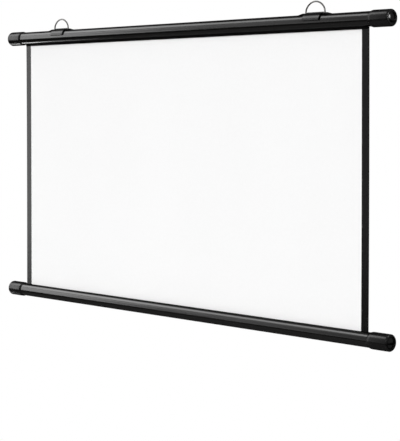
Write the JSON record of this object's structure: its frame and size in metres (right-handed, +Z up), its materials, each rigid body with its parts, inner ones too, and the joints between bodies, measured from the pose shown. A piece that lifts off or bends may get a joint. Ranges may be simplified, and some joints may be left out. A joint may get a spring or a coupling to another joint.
{
  "type": "portable projection screen",
  "caption": "Portable roll-up projection screen: white sheet with black side borders between two round black tubes, spring roller in the top tube, D-rings to hang it by.",
  "frame": {"origin": "under the middle of the bottom tube with the screen open, at the lowest level of its end caps", "axes": "+X along the tubes to the viewer's right, +Y through the screen towards the wall, +Z up"},
  "size_m": [1.265, 0.0382, 0.7223],
  "materials": {
    "black_tube": "satin black coated aluminium extrusion",
    "black_cap": "finely textured black plastic",
    "guide_strip": "matte black flexible strip",
    "clip_plastic": "matte dark grey moulded plastic",
    "ring_wire": "bright nickel-plated steel wire",
    "white_cloth": "matte white coated projection fabric",
    "black_cloth": "matte black printed border of the same fabric",
    "inner_plastic": "natural acetal plastic",
    "roller_metal": "mill-finish aluminium tube",
    "steel": "plain drawn steel",
    "spring_steel": "oiled spring steel wire"
  },
  "bodies": {
    "case": {"top_case": "black_tube", "top_cap_left": "black_cap", "top_cap_right": "black_cap", "guide_lip_front": "guide_strip", "guide_lip_rear": "guide_strip", "hanger_clip_left": "clip_plastic", "hanger_clip_right": "clip_plastic", "spindle_bracket": "inner_plastic", "idler_bracket": "inner_plastic", "idler_bush": "inner_plastic", "spindle": "steel", "spring_boss": "steel", "torsion_spring": "spring_steel", "ratchet_wheel": "steel", "sheet_lead": "white_cloth", "white_screen": "white_cloth", "border_left": "black_cloth", "border_right": "black_cloth"},
    "roller": {"roller_tube": "roller_metal", "sheet_roll": "white_cloth", "roller_head": "inner_plastic", "pawl_pins": "steel", "spring_anchor": "inner_plastic", "idler_plug": "inner_plastic"},
    "pawl_upper_body": {"pawl_upper": "steel"},
    "pawl_lower_body": {"pawl_lower": "steel"},
    "bottom_bar": {"bottom_tube": "black_tube", "bottom_cap_left": "black_cap", "bottom_cap_right": "black_cap", "hem_pocket": "white_cloth", "hem_rod": "steel"},
    "ring_left": {"d_ring_left": "ring_wire"},
    "ring_right": {"d_ring_right": "ring_wire"}
  },
  "joints": [
    {"name": "bar_lift", "type": "slide", "parent": "case", "child": "bottom_bar", "axis": [0, 0, 1], "range_m": [0, 0.6223], "deforming": ["white_screen", "border_left", "border_right"]},
    {"name": "roller_spin", "type": "hinge", "parent": "case", "child": "roller", "pos_m": [0, 0, 0.6771], "axis": [1, 0, 0], "range_deg": [0, 3250]},
    {"name": "ring_left_swing", "type": "hinge", "parent": "case", "child": "ring_left", "pos_m": [-0.427, 0, 0.69535], "axis": [1, 0, 0], "range_deg": [-90, 94]},
    {"name": "ring_right_swing", "type": "hinge", "parent": "case", "child": "ring_right", "pos_m": [0.427, 0, 0.69535], "axis": [1, 0, 0], "range_deg": [-90, 94]},
    {"name": "pawl_upper_swing", "type": "hinge", "parent": "roller", "child": "pawl_upper_body", "pos_m": [-0.6065, 0, 0.6843], "axis": [1, 0, 0], "range_deg": [0, 18]},
    {"name": "pawl_lower_swing", "type": "hinge", "parent": "roller", "child": "pawl_lower_body", "pos_m": [-0.6065, 0, 0.6699], "axis": [1, 0, 0], "range_deg": [0, 18]}
  ],
  "couplings": [
    {"joint": "roller_spin", "follows": "bar_lift", "rad_per_m": 90.904}
  ]
}
